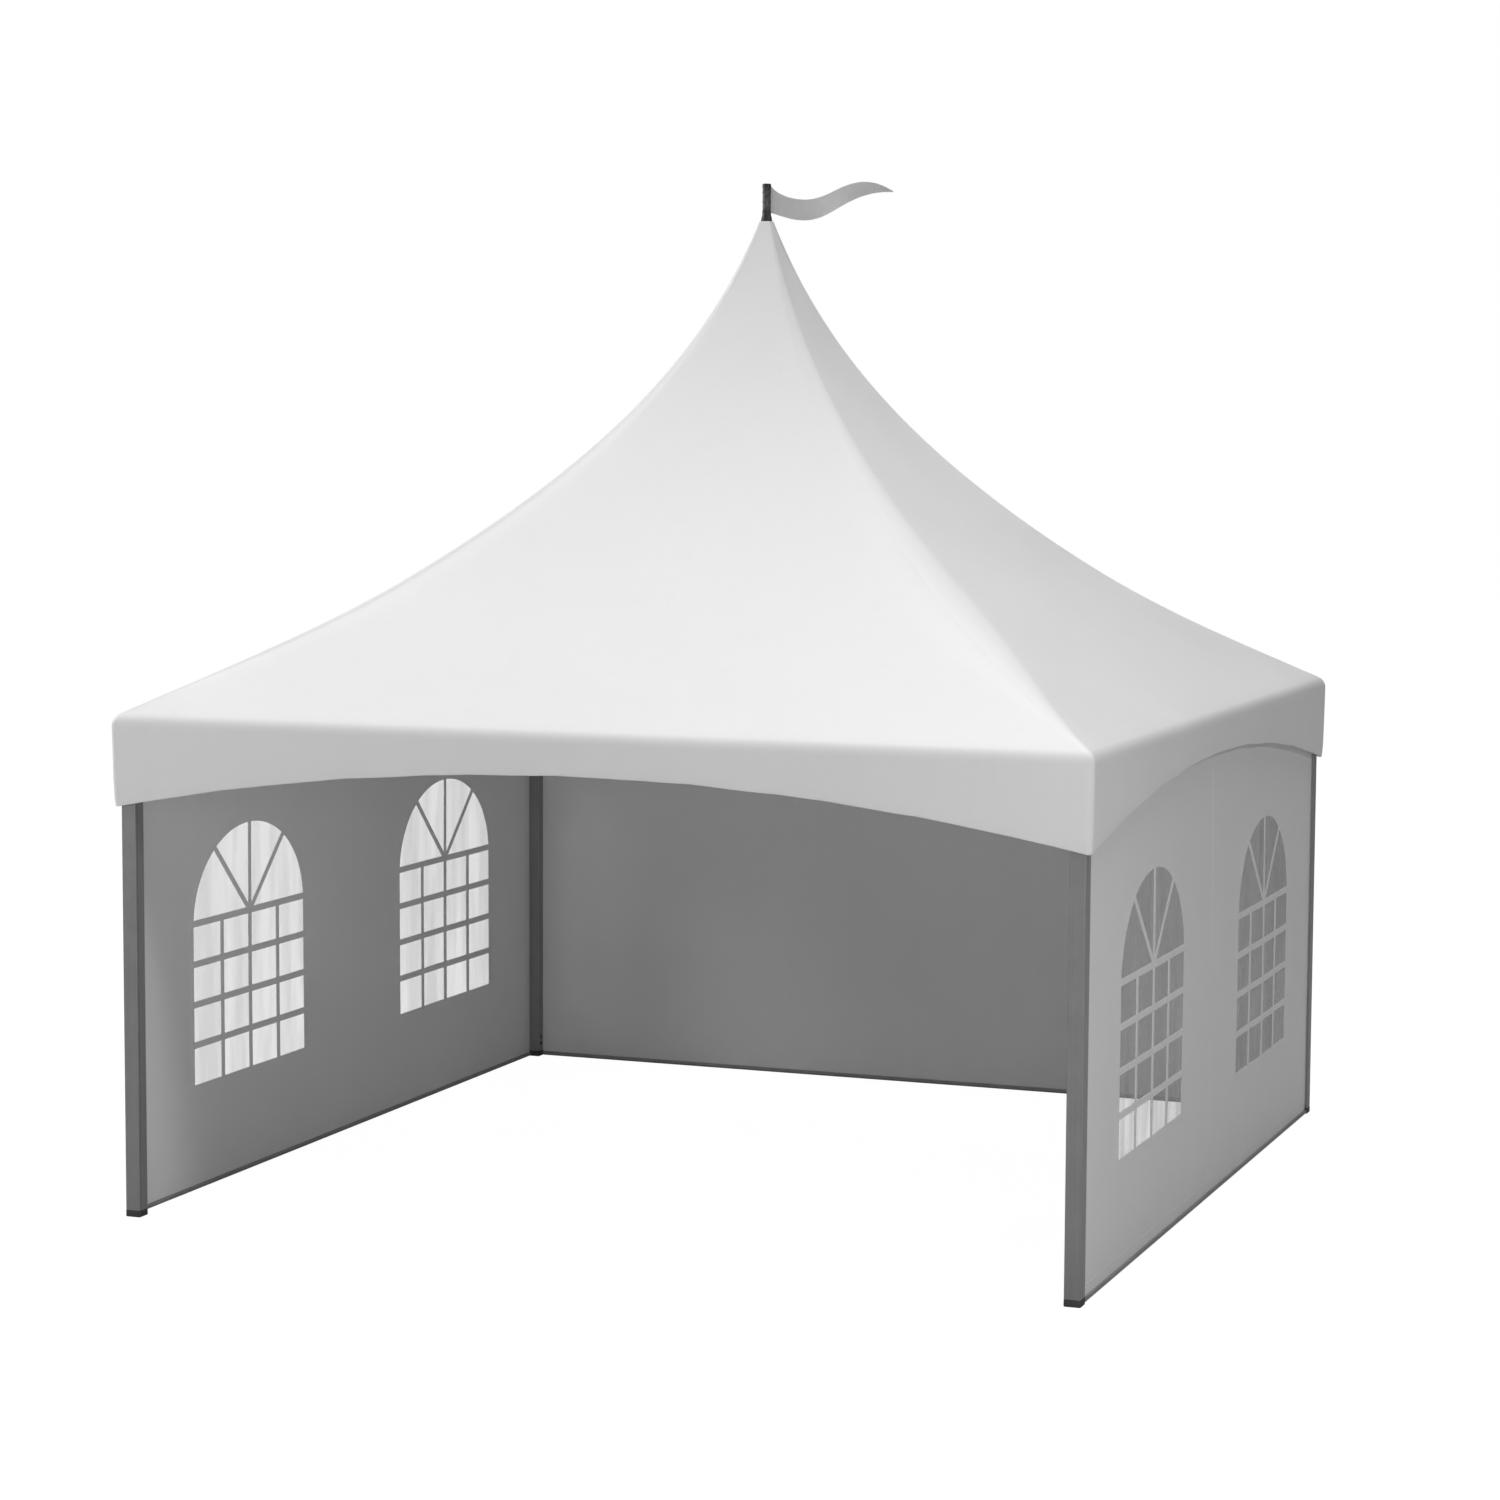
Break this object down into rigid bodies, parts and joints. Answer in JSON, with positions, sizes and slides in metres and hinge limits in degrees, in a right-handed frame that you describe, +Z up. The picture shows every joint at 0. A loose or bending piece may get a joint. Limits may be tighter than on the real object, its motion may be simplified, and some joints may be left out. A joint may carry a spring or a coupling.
{
  "type": "pagoda marquee tent",
  "caption": "Square high-peak marquee tent: aluminium frame, mast on crossed cables, tensioned roof cover with arched valances, side walls with arched film windows, and a turning pennant.",
  "frame": {"origin": "on the ground at the middle of the plan, right under the peak of the roof", "axes": "+Z up; the open front is on the -Y side, the right wall on the +X side"},
  "size_m": [5.04, 5.04, 5.2897],
  "materials": {
    "aluminium_profile": "mill-finish extrusion, satin",
    "galvanised_steel": "hot-dip galvanised, dull",
    "roof_pvc": "white PVC-coated polyester with a light satin lacquer",
    "wall_pvc": "white PVC-coated polyester with a light satin lacquer",
    "clear_film": "clear flexible PVC film",
    "dark_steel": "dark grey satin coating",
    "pennant_cloth": "light grey woven flag polyester"
  },
  "bodies": {
    "marquee": {"post_foot_back_right": "dark_steel", "post_foot_back_left": "dark_steel", "post_foot_front_left": "dark_steel", "post_foot_front_right": "dark_steel", "post_back_right": "aluminium_profile", "post_back_left": "aluminium_profile", "post_front_left": "aluminium_profile", "post_front_right": "aluminium_profile", "corner_bracket_back_right": "galvanised_steel", "corner_bracket_back_left": "galvanised_steel", "corner_bracket_front_left": "galvanised_steel", "corner_bracket_front_right": "galvanised_steel", "eave_beam_front": "aluminium_profile", "eave_beam_right": "aluminium_profile", "eave_beam_back": "aluminium_profile", "eave_beam_left": "aluminium_profile", "cross_cable_back_right": "galvanised_steel", "cross_cable_back_left": "galvanised_steel", "cross_cable_front_left": "galvanised_steel", "cross_cable_front_right": "galvanised_steel", "mast": "aluminium_profile", "mast_foot": "galvanised_steel", "mast_head": "galvanised_steel", "roof_gore_front": "roof_pvc", "roof_gore_right": "roof_pvc", "roof_gore_back": "roof_pvc", "roof_gore_left": "roof_pvc", "valance_front": "roof_pvc", "valance_right": "roof_pvc", "valance_back": "roof_pvc", "valance_left": "roof_pvc", "right_wall": "wall_pvc", "back_wall": "wall_pvc", "left_wall": "wall_pvc", "right_wall_bottom_bar": "aluminium_profile", "back_wall_bottom_bar": "aluminium_profile", "left_wall_bottom_bar": "aluminium_profile", "right_wall_window_front": "clear_film", "right_wall_window_back": "clear_film", "left_wall_window_back": "clear_film", "left_wall_window_front": "clear_film"},
    "flag": {"flag_sleeve": "dark_steel", "pennant": "pennant_cloth"}
  },
  "joints": [
    {"name": "flag_swivel", "type": "hinge", "parent": "marquee", "child": "flag", "pos_m": [0, 0, 5.2], "axis": [0, 0, 1], "continuous": true}
  ]
}
